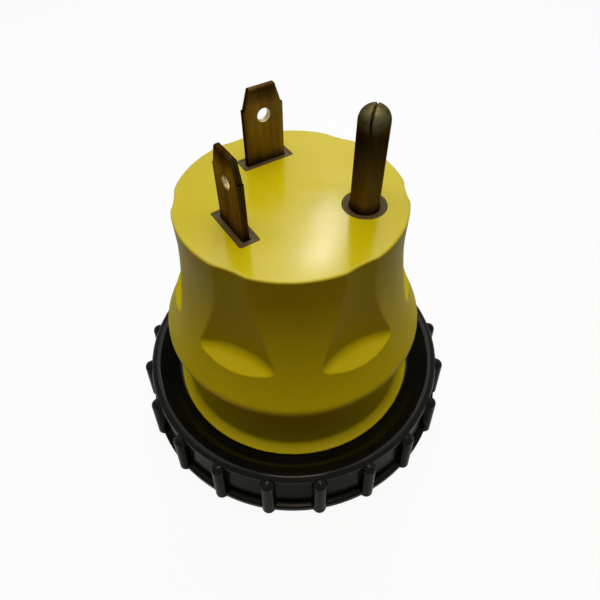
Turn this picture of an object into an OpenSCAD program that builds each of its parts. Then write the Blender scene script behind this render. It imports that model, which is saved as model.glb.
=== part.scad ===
// Plug adapter with two flat blades, a round ground pin and a captive
// threaded lock ring. Millimetres. The origin is at the middle of the
// ring's lower rim, +Z points to the prongs and +X to the ground pin.

/* [Housing] */
// Radius of the plug face
face_r = 26; // [25:0.25:28]
// Height of the plug face above the ring's lower rim
face_z = 71.6; // [69:0.2:80]
// Width of the small chamfer round the face
face_edge = 0.4; // [0.2:0.1:0.8]
// Height of the straight band under the face
band_h = 5; // [3:0.5:8]
// Height of the flared grip, from the face down to the bead
grip_h = 35.5; // [34:0.1:37]
// Radius of the bead's rounded edge
bead_r = 3.5; // [2.5:0.25:4.5]
// Radius of the neck between the bead and the lip
neck_r = 31.2; // [30.4:0.1:31.6]
// How far the lower end of the grip stands out from the neck
bead_out = 2.1; // [1.8:0.05:2.6]
// How far the lip stands out from the neck, over the ring's hole
lip_out = 2.7; // [2.2:0.1:3.2]
// Thickness of the lip at its edge
lip_t = 0.7; // [0.5:0.1:1.2]
// Rise of the lip from its edge to the neck
lip_rise = 0.9; // [0.5:0.1:1.5]
// Thickness of the wall behind the plug face
face_wall = 5; // [4.4:0.2:6]
// Wall between the round boss and the bore behind the plug face
core_margin = 0.4; // [0.2:0.1:0.6]
// Thickness of the neck's wall
neck_wall = 3; // [2.6:0.1:3.2]

/* [Scallops] */
// Number of thumb scallops round the grip
scallop_count = 6; // [4:1:6]
// Angle of the first scallop from +X
scallop_phase = 15.2; // [10:0.2:20]
// Radius of each scallop across the grip
scallop_r = 24; // [22:0.5:27]
// Depth of the scallop where it runs out at the face
scallop_cut = 0.55; // [0.3:0.05:0.8]
// Length of the scallop down from the face
scallop_len = 26.8; // [25:0.2:28]
// Slope of the scallop's lower ledge
scallop_slope = 20; // [15:1:30]
// Radius between the scallop's floor and its ledge
scallop_fillet = 2.5; // [1.5:0.25:3.5]

/* [Prongs] */
// Diameter of the ground pin
ground_d = 6.35; // [6.1:0.05:6.6]
// Length of the ground pin above the face
ground_len = 22.7; // [20:0.1:25]
// Distance of the ground pin from the axis
ground_x = 16.2; // [15.8:0.1:16.4]
// Width of a flat blade
blade_w = 9.6; // [8.8:0.1:10]
// Thickness of a blade, both layers of the folded sheet
blade_t = 1.45; // [1.25:0.05:1.7]
// Length of a blade above the face
blade_len = 17.8; // [16.5:0.1:19]
// Height above the face where a blade starts to taper
blade_shoulder = 13.1; // [12.4:0.1:14.2]
// Width of a blade at its tip
blade_tip_w = 6.4; // [5.4:0.1:7]
// Step in each edge where the taper starts
blade_step = 0.35; // [0.2:0.05:0.5]
// Diameter of the hole in a blade
blade_hole_d = 3.2; // [2.8:0.1:3.6]
// Height of that hole above the face
blade_hole_z = 11.2; // [10.5:0.1:12]
// Gap between the two layers of the folded sheet
fold_gap = 0.12; // [0.08:0.02:0.2]
// Depth of that gap from the blade's edge
fold_depth = 0.5; // [0.3:0.1:0.8]
// Distance of the blades behind the axis
blade_x = 8.95; // [8.6:0.05:9.4]
// Distance of each blade to the side of the axis
blade_y = 12.35; // [12:0.05:12.8]
// Turn of each blade from the X axis
blade_turn = 44.3; // [40:0.1:48]
// Length of the flat boss round a blade
boss_l = 12.7; // [12.2:0.1:13]
// Width of the flat boss round a blade
boss_w = 4.5; // [3.8:0.1:4.8]
// Diameter of the round boss at the ground pin
ground_boss_d = 9.6; // [9:0.1:10]
// Thickness of the prong carrier's disc
carrier_t = 7; // [6:0.2:8]
// Width of the seams where the ground pin's sheet is folded together
seam_w = 0.3; // [0.2:0.05:0.4]
// Depth of those seams
seam_depth = 0.6; // [0.3:0.1:0.8]
// Height of the slit that runs down from the round end
slit_h = 4; // [2:0.5:6]
// Angle of the slit and of the seams from +X
slit_angle = -95; // [-110:1:-80]

/* [Lock ring] */
// Height of the ring
ring_h = 16.5; // [15.8:0.1:17.5]
// Thickness of the ring's wall at its top edge
ring_wall = 3.8; // [3.2:0.1:4.4]
// Radius of the rounded top edge
rim_edge_r = 1.5; // [1:0.1:1.6]
// Height of the band under the top edge
rim_band_h = 1.7; // [1.6:0.1:2.4]
// Depth of the wall's panels behind the rims
panel_inset = 0.9; // [0.5:0.1:1.2]
// How far the wall leans out from its top edge to the lower rim
foot_out = 1.9; // [1.4:0.1:2.4]
// Height of the lower rim
foot_h = 2; // [1.4:0.1:2.6]
// Space between the flange and the ring's bore, for the mating collar
collar_gap = 3.4; // [3:0.1:3.8]
// Thickness of the ring's top plate at its hole
plate_t = 1.9; // [1.6:0.1:2.4]
// Drop of the top plate from the rim to the hole
dish = 4.1; // [3:0.1:4.4]
// Number of grip ribs
rib_count = 20; // [15:1:22]
// Angle of the first rib from +X
rib_phase = 3.3; // [-9:0.1:9]
// Width of a grip rib
rib_w = 3.7; // [3:0.1:4.2]
// Drop from the top edge to the middle of a rib's round upper end
rib_drop = 2.9; // [2.6:0.1:3.6]
// How far a rib stands out from the lower rim
rib_foot_proud = 1.2; // [0.8:0.05:1.6]
// How far a rib stands out at its round upper end
rib_top_proud = 2.2; // [1.6:0.05:2.6]

/* [Socket] */
// Width of the flange outside the nose, where the gasket lies
collar_land = 6.8; // [6.2:0.1:7.2]
// How far the nose sits above the ring's lower rim
nose_recess = 1; // [0.6:0.1:1.6]
// How far the flange that keeps the ring reaches past the ring's hole
flange_lap = 3.6; // [3:0.1:4]
// Thickness of that flange
flange_t = 2.2; // [1.8:0.1:2.6]
// Thickness of the gasket under the flange
gasket_t = 1.5; // [1:0.1:1.8]
// Thickness of the seal between the neck and the flange
seal_t = 0.8; // [0.6:0.1:1.2]
// Radius of the circle that the curved contacts lie on
pitch_r = 15; // [14.8:0.1:15.2]
// Angle of the neutral contact from +X
socket_phase = 60; // [58:1:62]
// Width of a curved slot
slot_w = 2.6; // [2.2:0.1:2.8]
// Angle that a curved slot spans
slot_span = 34; // [28:1:35]
// Diameter of the central hole
socket_hole_d = 7.2; // [6.8:0.1:7.6]
// How far the central sleeve is narrower than its hole, all round
sleeve_lead = 0.3; // [0.2:0.05:0.4]

/* [Inner parts] */
// Thickness of the contact and strap metal
strip_t = 1.2; // [1:0.1:1.4]
// Width of a strap
strap_w = 4.8; // [4.4:0.1:5]
// Length of the contacts above the socket face
contact_len = 14.6; // [13:0.2:15]
// Height of the insulating contact block
block_h = 20; // [19.6:0.2:21]
// Height of the line strap above the block
line_lift = 4; // [3.4:0.2:5]
// Height from one strap to the next
strap_step = 5; // [4.6:0.2:5.4]
// Diameter of the posts on the curved contacts
post_d = 5; // [4.6:0.1:5.2]
// Diameter of the small screws
screw_d = 3; // [2.6:0.1:3.2]
// Distance of the long housing screws from the neck's bore
long_screw_in = 4; // [3.6:0.1:4.2]
// Height of the springs on the curved contacts
spring_h = 9; // [7:0.5:10]
// Distance of the springs from the socket's flange
spring_lift = 3; // [2:0.5:4]
// Distance of the contacts' feet from the socket's flange
foot_gap = 0.4; // [0.3:0.1:0.6]

/* [Clearances] */
// Radial running clearance of the ring on the neck
ring_run = 0.4; // [0.3:0.05:0.6]
// Axial play of the ring above and below its plate
ring_play = 0.3; // [0.25:0.05:0.5]
// Clearance round prongs, bosses and other fixed pieces
seat_gap = 0.1; // [0.05:0.01:0.15]
// Gap between the contact block and the shoulder over it
block_gap = 0.3; // [0.2:0.05:0.4]
// How far each seal ring stays inside the face that it lies on
seal_inset = 0.2; // [0.1:0.05:0.4]

/* [Hidden] */
$fn = 96;
eps = 0.01;

// Levels, from the ring's lower rim up
dish_z = ring_h - dish;
plate_z = dish_z - plate_t;
flange_top_z = plate_z - ring_play;
flange_z = flange_top_z - flange_t;
gasket_z = flange_z - gasket_t;
neck_foot_z = flange_top_z + seal_t;
lip_z = dish_z + ring_play;
carrier_top_z = face_z - face_wall;
carrier_z = carrier_top_z - carrier_t;
block_top_z = flange_top_z + block_h;
contact_top_z = flange_top_z + contact_len;
line_z = block_top_z + line_lift;
neutral_z = line_z + strap_step;
ground_z = neutral_z + strap_step + strip_t + 0.8;
shoulder_z = block_top_z + block_gap;

// The flare is an arc that leaves the band without a corner, and the
// bead's arc carries on from its end
flare_drop = grip_h - band_h;
flare_out = neck_r + bead_out - face_r;
flare_r = (pow(flare_drop, 2) + pow(flare_out, 2)) / (2 * flare_out);
flare_tilt = asin(flare_drop / flare_r);
bead_c_r = face_r + flare_out - bead_r * cos(flare_tilt);
bead_c_z = face_z - grip_h - bead_r * sin(flare_tilt);
bead_end = -acos((neck_r - bead_c_r) / bead_r);
neck_bore_r = neck_r - neck_wall;
core_r = ground_x + ground_boss_d / 2 + core_margin;
lip_r = neck_r + lip_out;
lip_top_z = lip_z + lip_t;

// Scallops
scallop_floor_r = face_r - scallop_cut;
scallop_z = face_z - scallop_len;
fillet_run = scallop_fillet * tan((90 - scallop_slope) / 2);

// Blades and their straps
tail_len = 11;
leg_inset = 0.8;
leg_gap = 0.6;
rivet_inset = 2.6;
tail_z = carrier_z - tail_len;
leg_w = blade_w - 2 * leg_inset;
leg_top_z = carrier_z - leg_gap;
rivet_d = 2.8;
rivet_head_d = 4.6;
rivet_head_t = 0.8;
rivet_zs = [tail_z + rivet_inset, leg_top_z - rivet_inset];
sheet_t = blade_t / 2;
leg_off = blade_t / 2 + seat_gap + strip_t / 2;

// Angle from +X of a point at x along a strap's leg
function leg_angle(x) = atan2(
  blade_y + x * sin(blade_turn) - leg_off * cos(blade_turn),
  -blade_x + x * cos(blade_turn) + leg_off * sin(blade_turn));
arc_margin = 13;

// Socket
line_angles = [socket_phase + 120, socket_phase + 240];
leaf_t = 0.8;
leaf_play = 0.05;
leaf_gap = slot_w + 2 * leaf_play;
leaf_in_r = pitch_r - leaf_gap / 2 - leaf_t;
leaf_out_r = pitch_r + leaf_gap / 2 + leaf_t;
spring_t = 0.4;
pocket_gap = 0.3;
sleeve_wall = 1.2;
sleeve_bore_r = socket_hole_d / 2 - sleeve_lead;
sleeve_r = sleeve_bore_r + sleeve_wall;
sleeve_len = 17.5;
shank_d = ground_d - 0.35;
ground_post_r = 3.2;
pilot_d = screw_d + 0.2;
screw_grip = 8;
screw_head_d = 6;
screw_head_t = 2.2;
long_screw_d = 3;
long_head_d = 5.6;
long_head_t = 2.4;
long_grip = 7;
long_screw_r = neck_bore_r - long_screw_in;
long_screw_angles = [for (i = [0:2]) scallop_phase + 180 / scallop_count + 120 * i];
carrier_screw_in = 5.2;
carrier_screw_xy = [4, core_r - carrier_screw_in];
carrier_screw_d = 2.6;
carrier_head_d = 5;
carrier_head_t = 1.8;
carrier_grip = face_wall - 1.6;

// Ring
hole_r = neck_r + ring_run;
flange_r = hole_r + flange_lap;
nose_r = flange_r - collar_land;
bore_r = flange_r + collar_gap;
ring_top_r = bore_r + ring_wall;
foot_r = ring_top_r + foot_out;
rib_foot_r = foot_r + rib_foot_proud - rib_w / 2;
rib_top_r = ring_top_r + rib_top_proud - rib_w / 2;
rib_top_z = ring_h - rib_drop;
band_low_z = ring_h - rim_band_h;
rib_lean = atan((rib_foot_r - rib_top_r) / rib_top_z);

// ---------- helpers ----------
// A ring sector: radii, height, start angle and span
module sector(r0, r1, h, start, span) {
  rotate([0, 0, start])
    rotate_extrude(angle = span) translate([r0, 0]) square([r1 - r0, h]);
}

// Puts its children in a blade's frame: X along the blade, +Y away from
// the axis. side is 1 for +Y and -1 for -Y
module at_blade(side) {
  mirror([0, side < 0 ? 1 : 0, 0])
    translate([-blade_x, blade_y, 0]) rotate([0, 0, blade_turn]) children();
}

module at_polar(r, angle) {
  rotate([0, 0, angle]) translate([r, 0, 0]) children();
}

// A cheese-head screw that points up, with its head below z = 0
module screw_up(d, length, head_d, head_t) {
  difference() {
    union() {
      cylinder(d = d, h = length);
      translate([0, 0, -head_t]) cylinder(d = head_d, h = head_t);
    }
    translate([-head_d, -0.5, -head_t - eps]) cube([2 * head_d, 1, 1]);
  }
}

// ---------- housing ----------
// Points of an arc from one angle to another
function arc(c, r, a0, a1, steps) = [for (i = [0 : steps])
  let (a = a0 + (a1 - a0) * i / steps) c + r * [cos(a), sin(a)]];

module housing_section() {
  band_z = face_z - band_h;
  difference() {
    polygon(concat(
      [[0, neck_foot_z], [0, face_z], [face_r - face_edge, face_z],
        [face_r, face_z - face_edge], [face_r, band_z], [face_r + flare_out + 3, band_z]],
      arc([bead_c_r, bead_c_z], bead_r, flare_tilt, bead_end, 8),
      [[neck_r, lip_top_z + lip_rise * 2], [neck_r + lip_rise, lip_top_z + lip_rise * 0.6],
        [lip_r, lip_top_z], [lip_r, lip_z], [neck_r, lip_z], [neck_r, neck_foot_z]]));
    translate([face_r + flare_r, band_z]) circle(flare_r, $fn = 360);
  }
}

// Turns about its own axis: a straight wall, a fillet and a cone
module scallop_cutter() {
  wall_z = scallop_z + fillet_run;
  translate([scallop_floor_r + scallop_r, 0, 0]) rotate_extrude()
    polygon(concat(
      [[0, scallop_z - scallop_r * tan(scallop_slope)]],
      arc([scallop_r - scallop_fillet, wall_z], scallop_fillet,
        scallop_slope - 90, 0, 5),
      [[scallop_r, face_z + 1], [0, face_z + 1]]));
}

module housing() {
  color("gold") difference() {
    rotate_extrude() housing_section();
    for (i = [0 : scallop_count - 1])
      rotate([0, 0, scallop_phase + i * 360 / scallop_count]) scallop_cutter();
    // Neck bore and core bore
    translate([0, 0, neck_foot_z - 1])
      cylinder(r = neck_bore_r, h = shoulder_z - neck_foot_z + 1);
    translate([0, 0, shoulder_z - 1])
      cylinder(r = core_r, h = carrier_top_z - shoulder_z + 1);
    // Openings for the three bosses
    for (side = [-1, 1]) at_blade(side)
      translate([-boss_l / 2 - seat_gap, -boss_w / 2 - seat_gap, carrier_top_z - 1])
        cube([boss_l + 2 * seat_gap, boss_w + 2 * seat_gap, face_wall + 2]);
    translate([ground_x, 0, carrier_top_z - 1])
      cylinder(d = ground_boss_d + 2 * seat_gap, h = face_wall + 2);
    // Blind holes for the carrier's screws and for the long screws
    for (side = [-1, 1])
      translate([carrier_screw_xy[0], side * carrier_screw_xy[1], carrier_top_z - 1])
        cylinder(d = carrier_screw_d + 2 * seat_gap, h = carrier_grip + 1.3);
    for (a = long_screw_angles) at_polar(long_screw_r, a)
      translate([0, 0, shoulder_z - 1])
        cylinder(d = long_screw_d + 2 * seat_gap, h = long_grip + 1.5);
  }
}

// ---------- prongs ----------
module prong_carrier() {
  color("dimgray") difference() {
    union() {
      translate([0, 0, carrier_z]) cylinder(r = core_r - seat_gap, h = carrier_t);
      for (side = [-1, 1]) at_blade(side)
        translate([-boss_l / 2, -boss_w / 2, carrier_z + 1])
          cube([boss_l, boss_w, face_z - carrier_z - 1]);
      translate([ground_x, 0, carrier_z + 1])
        cylinder(d = ground_boss_d, h = face_z - carrier_z - 1);
    }
    for (side = [-1, 1]) {
      at_blade(side)
        translate([-blade_w / 2 - seat_gap, -blade_t / 2 - seat_gap, carrier_z - 1])
          cube([blade_w + 2 * seat_gap, blade_t + 2 * seat_gap, face_z - carrier_z + 2]);
      translate([carrier_screw_xy[0], side * carrier_screw_xy[1], carrier_z - 1])
        cylinder(d = carrier_screw_d + 2 * seat_gap, h = carrier_t + 2);
    }
    translate([ground_x, 0, carrier_z - 1])
      cylinder(d = shank_d + 2 * seat_gap, h = face_z - carrier_z + 2);
  }
}

// A blade: sheet folded double, so its tip is round and its edges show a gap
module blade(side) {
  shoulder_z = face_z + blade_shoulder;
  fold_z = face_z + blade_len - sheet_t;
  half = blade_w / 2;
  inner = half - blade_step;
  tip = blade_tip_w / 2;
  at_blade(side) difference() {
    union() {
      rotate([90, 0, 0]) translate([0, 0, -blade_t / 2]) linear_extrude(blade_t)
        polygon([[-half, tail_z], [half, tail_z], [half, shoulder_z],
          [inner, shoulder_z], [tip, fold_z], [-tip, fold_z],
          [-inner, shoulder_z], [-half, shoulder_z]]);
      translate([-tip, 0, fold_z]) rotate([0, 90, 0]) cylinder(r = sheet_t, h = blade_tip_w);
    }
    for (s = [-1, 1]) {
      // The gap between the layers, down each straight edge
      translate([s * (half - fold_depth / 2) - fold_depth, -fold_gap / 2, tail_z - 1])
        cube([2 * fold_depth, fold_gap, shoulder_z - tail_z + 1 + eps]);
    }
    translate([0, 0, face_z + blade_hole_z]) rotate([90, 0, 0])
      cylinder(d = blade_hole_d, h = 2 * blade_t, center = true);
    for (z = rivet_zs) translate([0, 0, z]) rotate([90, 0, 0])
      cylinder(d = rivet_d + 2 * seat_gap, h = 2 * blade_t, center = true);
  }
}

module line_blade() { color("peru") blade(-1); }
module neutral_blade() { color("peru") blade(1); }

// A hollow pin, closed at its round end, where the seams of the sheet meet
module ground_pin() {
  r = ground_d / 2;
  top_z = face_z + ground_len;
  color("peru") translate([ground_x, 0, 0]) difference() {
    union() {
      // The shank in the carrier is a little thinner than the pin
      translate([0, 0, ground_z + strip_t])
        cylinder(d = shank_d, h = face_z - ground_z - strip_t);
      translate([0, 0, face_z]) cylinder(r = r, h = ground_len - r);
      translate([0, 0, top_z - r]) sphere(r);
    }
    translate([0, 0, ground_z]) cylinder(d = pilot_d, h = top_z - 2 * r - ground_z);
    // Seams across the round end
    for (a = [0, 90]) rotate([0, 0, a + slit_angle])
      translate([-r - 1, -seam_w / 2, top_z - seam_depth]) cube([2 * r + 2, seam_w, 1]);
    rotate([0, 0, slit_angle]) translate([r - seam_depth, -seam_w / 2, top_z - r - slit_h])
      cube([1, seam_w, slit_h + r]);
  }
}

module blade_rivets() {
  stack = blade_t + strip_t + seat_gap;
  color("darkgoldenrod") for (side = [-1, 1]) at_blade(side) for (z = rivet_zs)
    translate([0, blade_t / 2, z]) rotate([90, 0, 0]) {
      cylinder(d = rivet_d, h = stack);
      translate([0, 0, -rivet_head_t]) cylinder(d = rivet_head_d, h = rivet_head_t);
      translate([0, 0, stack]) cylinder(d = rivet_head_d, h = rivet_head_t);
    }
}

module carrier_screws() {
  color("silver") for (side = [-1, 1])
    translate([carrier_screw_xy[0], side * carrier_screw_xy[1], carrier_z])
      screw_up(carrier_screw_d, carrier_t + carrier_grip, carrier_head_d, carrier_head_t);
}

// ---------- straps ----------
// The upright leg of a strap, on the inner side of its blade
module strap_leg(side, z) {
  at_blade(side) difference() {
    translate([-leg_w / 2, -blade_t / 2 - seat_gap - strip_t, z])
      cube([leg_w, strip_t, leg_top_z - z]);
    for (rz = rivet_zs) translate([0, 0, rz]) rotate([90, 0, 0])
      cylinder(d = rivet_d + 2 * seat_gap, h = 3 * blade_t);
  }
}

module strap_arc(z, start, span, screw_angles) {
  difference() {
    translate([0, 0, z]) sector(pitch_r - strap_w / 2, pitch_r + strap_w / 2,
      strip_t, start, span);
    for (a = screw_angles) at_polar(pitch_r, a) translate([0, 0, z - 1])
      cylinder(d = pilot_d, h = strip_t + 2);
  }
}

module line_bus() {
  start = line_angles[0] - arc_margin;
  end = 360 - leg_angle(leg_w / 2) + 2;
  color("goldenrod") {
    strap_arc(line_z, start, end - start, line_angles);
    strap_leg(-1, line_z + strip_t / 2);
  }
}

module neutral_bus() {
  start = socket_phase - arc_margin;
  end = leg_angle(-leg_w / 2) + 2;
  color("goldenrod") {
    strap_arc(neutral_z, start, end - start, [socket_phase]);
    strap_leg(1, neutral_z + strip_t / 2);
  }
}

module ground_bus() {
  w = 2 * ground_post_r + 0.6;
  color("goldenrod") translate([0, 0, ground_z]) difference() {
    union() {
      translate([0, -w / 2, 0]) cube([ground_x, w, strip_t]);
      for (x = [0, ground_x]) translate([x, 0, 0]) cylinder(d = w, h = strip_t);
    }
    for (x = [0, ground_x]) translate([x, 0, -1]) cylinder(d = pilot_d, h = strip_t + 2);
  }
}

module bus_screws() {
  color("silver") {
    for (a = line_angles) at_polar(pitch_r, a) translate([0, 0, line_z + strip_t])
      mirror([0, 0, 1]) screw_up(screw_d, screw_grip, screw_head_d, screw_head_t);
    at_polar(pitch_r, socket_phase) translate([0, 0, neutral_z + strip_t])
      mirror([0, 0, 1]) screw_up(screw_d, screw_grip, screw_head_d, screw_head_t);
    translate([0, 0, ground_z + strip_t])
      mirror([0, 0, 1]) screw_up(screw_d, screw_grip, screw_head_d, screw_head_t);
    translate([ground_x, 0, ground_z])
      screw_up(screw_d, screw_grip, screw_head_d, screw_head_t);
  }
}

// ---------- contacts ----------
// A curved contact: two leaves under a bridge, and a post up to its strap
module contact(angle, strap_z) {
  span = slot_span + 2;
  foot_z = flange_top_z + foot_gap;
  bridge_z = contact_top_z - strip_t;
  color("goldenrod") difference() {
    union() {
      rotate([0, 0, angle - span / 2]) rotate_extrude(angle = span)
        polygon([[leaf_in_r, foot_z], [leaf_in_r, contact_top_z],
          [leaf_out_r, contact_top_z], [leaf_out_r, foot_z],
          [leaf_out_r - leaf_t, foot_z], [leaf_out_r - leaf_t, bridge_z],
          [leaf_in_r + leaf_t, bridge_z], [leaf_in_r + leaf_t, foot_z]]);
      at_polar(pitch_r, angle) translate([0, 0, bridge_z + 0.2])
        cylinder(d = post_d, h = strap_z - bridge_z - 0.2);
    }
    at_polar(pitch_r, angle) translate([0, 0, strap_z - screw_grip - 1])
      cylinder(d = pilot_d, h = screw_grip + 2);
  }
}

module contact_x() { contact(line_angles[0], line_z); }
module contact_y() { contact(line_angles[1], line_z); }
module contact_neutral() { contact(socket_phase, neutral_z); }

module contact_ground() {
  foot_z = flange_top_z + foot_gap;
  top_z = flange_top_z + sleeve_len;
  slit_w = 0.8;
  color("goldenrod") difference() {
    union() {
      translate([0, 0, foot_z]) cylinder(r = sleeve_r, h = top_z - foot_z);
      translate([0, 0, top_z - 1]) cylinder(r = ground_post_r, h = ground_z - top_z + 1);
    }
    translate([0, 0, foot_z - 1]) cylinder(r = sleeve_bore_r, h = sleeve_len - 2);
    for (a = [0, 90]) rotate([0, 0, a])
      translate([-sleeve_r - 1, -slit_w / 2, foot_z - 1])
        cube([2 * sleeve_r + 2, slit_w, sleeve_len * 0.6]);
    translate([0, 0, ground_z - screw_grip - 1]) cylinder(d = pilot_d, h = screw_grip + 2);
  }
}

module contact_springs() {
  span = 20;
  color("lightsteelblue") for (i = [0:2])
    translate([0, 0, flange_top_z + spring_lift])
      sector(leaf_out_r + seat_gap, leaf_out_r + seat_gap + spring_t, spring_h,
        socket_phase + 120 * i - span / 2, span);
}

module ground_spring() {
  gap_angle = 40;
  color("lightsteelblue") translate([0, 0, flange_top_z + spring_lift])
    sector(sleeve_r + seat_gap, sleeve_r + seat_gap + spring_t, spring_h / 2,
      gap_angle / 2, 360 - gap_angle);
}

module contact_block() {
  pocket_out_r = leaf_out_r + seat_gap + spring_t + pocket_gap;
  pocket_span = slot_span + 6;
  color("ivory") translate([0, 0, flange_top_z]) difference() {
    cylinder(r = neck_bore_r - seat_gap, h = block_h);
    for (i = [0:2]) {
      a = socket_phase + 120 * i;
      translate([0, 0, -1]) sector(leaf_in_r - pocket_gap, pocket_out_r,
        contact_len + 1.3, a - pocket_span / 2, pocket_span);
      at_polar(pitch_r, a) cylinder(d = post_d + 2 * seat_gap, h = block_h + 1);
    }
    translate([0, 0, -1])
      cylinder(r = sleeve_r + seat_gap + spring_t + pocket_gap, h = sleeve_len + 1.3);
    cylinder(r = ground_post_r + seat_gap, h = block_h + 1);
    for (a = long_screw_angles) at_polar(long_screw_r, a) translate([0, 0, -1])
      cylinder(d = long_screw_d + 2 * seat_gap, h = block_h + 2);
  }
}

// ---------- socket end ----------
module socket_face() {
  lead = 0.5;
  color("dimgray") difference() {
    rotate_extrude() {
      // Nose with a small chamfer, and the flange that keeps the ring
      polygon([[0, nose_recess], [nose_r - 1, nose_recess], [nose_r, nose_recess + 1],
        [nose_r, flange_z], [flange_r, flange_z], [flange_r, flange_top_z],
        [0, flange_top_z]]);
    }
    // Curved slots, wider at their mouths
    for (i = [0:2]) {
      a = socket_phase + 120 * i;
      translate([0, 0, nose_recess - 1]) sector(pitch_r - slot_w / 2,
        pitch_r + slot_w / 2, flange_top_z - nose_recess + 2, a - slot_span / 2, slot_span);
      translate([0, 0, nose_recess - 1]) sector(pitch_r - slot_w / 2 - lead,
        pitch_r + slot_w / 2 + lead, 1 + lead, a - slot_span / 2 - 2, slot_span + 4);
    }
    translate([0, 0, nose_recess - 1])
      cylinder(d = socket_hole_d, h = flange_top_z - nose_recess + 2);
    for (a = long_screw_angles) at_polar(long_screw_r, a) {
      translate([0, 0, nose_recess - 1])
        cylinder(d = long_screw_d + 2 * seat_gap, h = flange_top_z - nose_recess + 2);
      translate([0, 0, nose_recess - 1])
        cylinder(d = long_head_d + 0.4, h = 1 + 0.6 + long_head_t);
    }
    // A shallow groove round the contacts
    translate([0, 0, nose_recess - 1]) difference() {
      cylinder(r = pitch_r + 5.2, h = 1.5);
      translate([0, 0, -1]) cylinder(r = pitch_r + 4.4, h = 4);
    }
  }
}

module housing_screws() {
  seat_z = nose_recess + 0.6 + long_head_t;
  color("silver") for (a = long_screw_angles) at_polar(long_screw_r, a)
    translate([0, 0, seat_z])
      screw_up(long_screw_d, shoulder_z + long_grip - seat_z, long_head_d, long_head_t);
}

module collar_gasket() {
  color("black") translate([0, 0, gasket_z]) difference() {
    cylinder(r = flange_r - seal_inset, h = gasket_t);
    translate([0, 0, -1]) cylinder(r = nose_r + seat_gap, h = gasket_t + 2);
  }
}

module body_seal() {
  color("black") translate([0, 0, flange_top_z]) difference() {
    cylinder(r = neck_r - seal_inset, h = seal_t);
    translate([0, 0, -1]) cylinder(r = neck_bore_r + seal_inset, h = seal_t + 2);
  }
}

// ---------- lock ring ----------
module ring_section() {
  edge_c = [ring_top_r - rim_edge_r, ring_h - rim_edge_r];
  panel_top_r = ring_top_r - panel_inset;
  panel_foot_r = foot_r - panel_inset - 0.6;
  // Wall, plate and dished top
  polygon([[hole_r, plate_z], [bore_r, plate_z], [bore_r, 1.2], [bore_r + 1, 0],
    [foot_r - 0.5, 0], [foot_r, 0.5], [foot_r, foot_h], [panel_foot_r, foot_h + 0.5],
    [panel_top_r, band_low_z - 0.6], [ring_top_r, band_low_z],
    [ring_top_r, edge_c[1]], [edge_c[0], edge_c[1]], [edge_c[0], ring_h],
    [edge_c[0] - 1, ring_h], [lip_r + 0.6, dish_z], [hole_r, dish_z]]);
  translate(edge_c) circle(rim_edge_r);
}

// A grip rib that leans with the wall and has a round upper end
module rib() {
  length = rib_top_z / cos(rib_lean);
  translate([rib_top_r, 0, rib_top_z]) rotate([0, 180 - rib_lean, 0]) {
    cylinder(d = rib_w, h = length + rib_w / 2, $fn = 48);
    translate([0, -rib_w / 2, 0]) cube([rib_w, rib_w, length + rib_w / 2]);
    sphere(d = rib_w, $fn = 48);
  }
}

module lock_ring() {
  color([0.12, 0.12, 0.12]) difference() {
    union() {
      rotate_extrude() ring_section();
      for (i = [0 : rib_count - 1])
        rotate([0, 0, rib_phase + i * 360 / rib_count]) rib();
    }
    translate([0, 0, -rib_w]) cylinder(r = foot_r + 2 * rib_w, h = rib_w);
    translate([0, 0, -1]) cylinder(r = bore_r, h = plate_z + 1);
  }
}

housing();
prong_carrier();
line_blade();
neutral_blade();
ground_pin();
lock_ring();
socket_face();
collar_gasket();
body_seal();
contact_block();
contact_x();
contact_y();
contact_neutral();
contact_ground();
contact_springs();
ground_spring();
line_bus();
neutral_bus();
ground_bus();
blade_rivets();
bus_screws();
carrier_screws();
housing_screws();
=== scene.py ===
"""Plug adapter with flat blades, a ground pin and a threaded lock ring.

Shapes are given in millimetres and become metres when a mesh is made. The
floor, the lamps and the camera are placed in metres. The frame is the CAD's:
origin at the middle of the ring's lower rim, +Z to the prongs, +X to the
ground pin, +Y to the neutral blade.
"""

import math

import bmesh
import bpy
import numpy as np
from mathutils import Euler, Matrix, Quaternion, Vector
from mathutils.geometry import delaunay_2d_cdt


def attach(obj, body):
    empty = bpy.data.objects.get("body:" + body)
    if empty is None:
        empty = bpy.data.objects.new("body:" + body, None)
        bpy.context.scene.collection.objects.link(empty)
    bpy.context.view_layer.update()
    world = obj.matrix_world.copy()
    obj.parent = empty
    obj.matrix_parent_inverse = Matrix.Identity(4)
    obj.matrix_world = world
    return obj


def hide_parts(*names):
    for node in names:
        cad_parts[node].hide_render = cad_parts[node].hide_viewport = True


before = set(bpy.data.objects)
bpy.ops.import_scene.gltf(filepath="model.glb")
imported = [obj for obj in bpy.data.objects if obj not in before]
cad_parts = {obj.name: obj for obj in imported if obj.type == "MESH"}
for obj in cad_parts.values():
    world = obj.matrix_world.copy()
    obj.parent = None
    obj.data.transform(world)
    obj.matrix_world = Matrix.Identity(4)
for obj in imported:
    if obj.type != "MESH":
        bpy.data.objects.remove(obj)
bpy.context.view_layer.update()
scene = bpy.context.scene

PLUG, RING = "plug_body", "ring_body"
MM = 0.001

# ---------- sizes of the housing, in the CAD source's millimetres ----------
FACE_R = 26.0
FACE_Z = 71.6
BAND_H = 5.0  # upright band under the face
GRIP_H = 35.5  # from the face to the end of the flare
FLARE_OUT = 7.3  # how far the grip flares
BEAD_R = 3.5
NECK_R = 31.2
NECK_WALL = 3.0
NECK_FOOT_Z = 11.0
LIP_R = 33.9
LIP_Z = 12.7
LIP_T = 0.7
CHAMBER_TOP_Z = 30.5  # end of the wide bore in the neck
CORE_R = 21.4  # narrow bore in the grip
SEAT_Z = 66.6  # underside of the face's wall, where the carrier seats

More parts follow.
